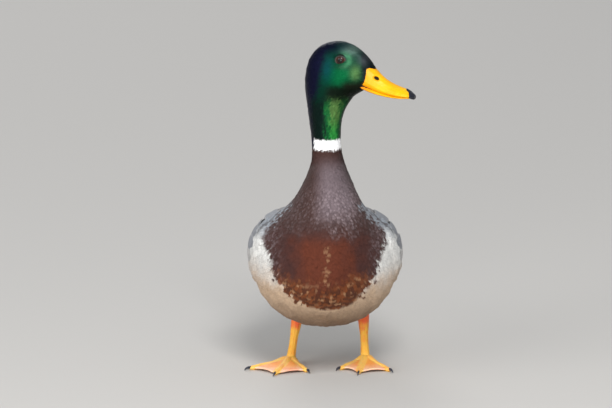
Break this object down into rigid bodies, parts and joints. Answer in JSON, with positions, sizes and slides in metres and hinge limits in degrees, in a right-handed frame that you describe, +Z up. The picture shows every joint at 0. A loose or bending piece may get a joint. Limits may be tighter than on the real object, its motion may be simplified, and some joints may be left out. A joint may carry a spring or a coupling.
{
  "type": "mallard drake",
  "caption": "Life-size drake duck standing upright on webbed feet, with its head turned to its left, a green head, white neck ring, chestnut breast and yellow bill.",
  "frame": {"origin": "centre of the bounding box's base, on the floor between the feet and the tail", "axes": "+Z up, the bird's body faces -Y and its left side is at +X; its bill points to +X and a little to -Y"},
  "size_m": [0.1756, 0.341, 0.3533],
  "materials": {
    "body_plumage": "soft grey feathers with fine wavy bars",
    "neck_plumage": "dark chestnut feathers below a white ring",
    "head_plumage": "glossy green feathers, navy towards the nape",
    "wing_plumage": "grey feathers, brown at the tips",
    "tail_plumage": "off-white feathers with grey-brown centres",
    "curl_plumage": "glossy black feathers",
    "bill": "satin yellow horn",
    "bill_nail": "satin black horn",
    "eye": "wet, dark brown",
    "leg": "scaly orange skin",
    "claw": "satin dark horn"
  },
  "bodies": {
    "root": {"head": "head_plumage", "neck": "neck_plumage", "bill_upper": "bill", "bill_lower": "bill", "bill_nail": "bill_nail", "eye_left": "eye", "eye_right": "eye", "tail": "tail_plumage", "foot_right": "leg", "tarsus_right": "leg", "thigh_right": "body_plumage", "claw_outer_right": "claw", "claw_middle_right": "claw", "claw_inner_right": "claw", "hind_toe_right": "leg", "claw_hind_right": "claw", "foot_left": "leg", "tarsus_left": "leg", "thigh_left": "body_plumage", "claw_outer_left": "claw", "claw_middle_left": "claw", "claw_inner_left": "claw", "hind_toe_left": "leg", "claw_hind_left": "claw", "wing_left": "wing_plumage", "wing_tip_left": "wing_plumage", "curl_left": "curl_plumage", "wing_right": "wing_plumage", "wing_tip_right": "wing_plumage", "curl_right": "curl_plumage", "trunk": "body_plumage"}
  },
  "joints": []
}
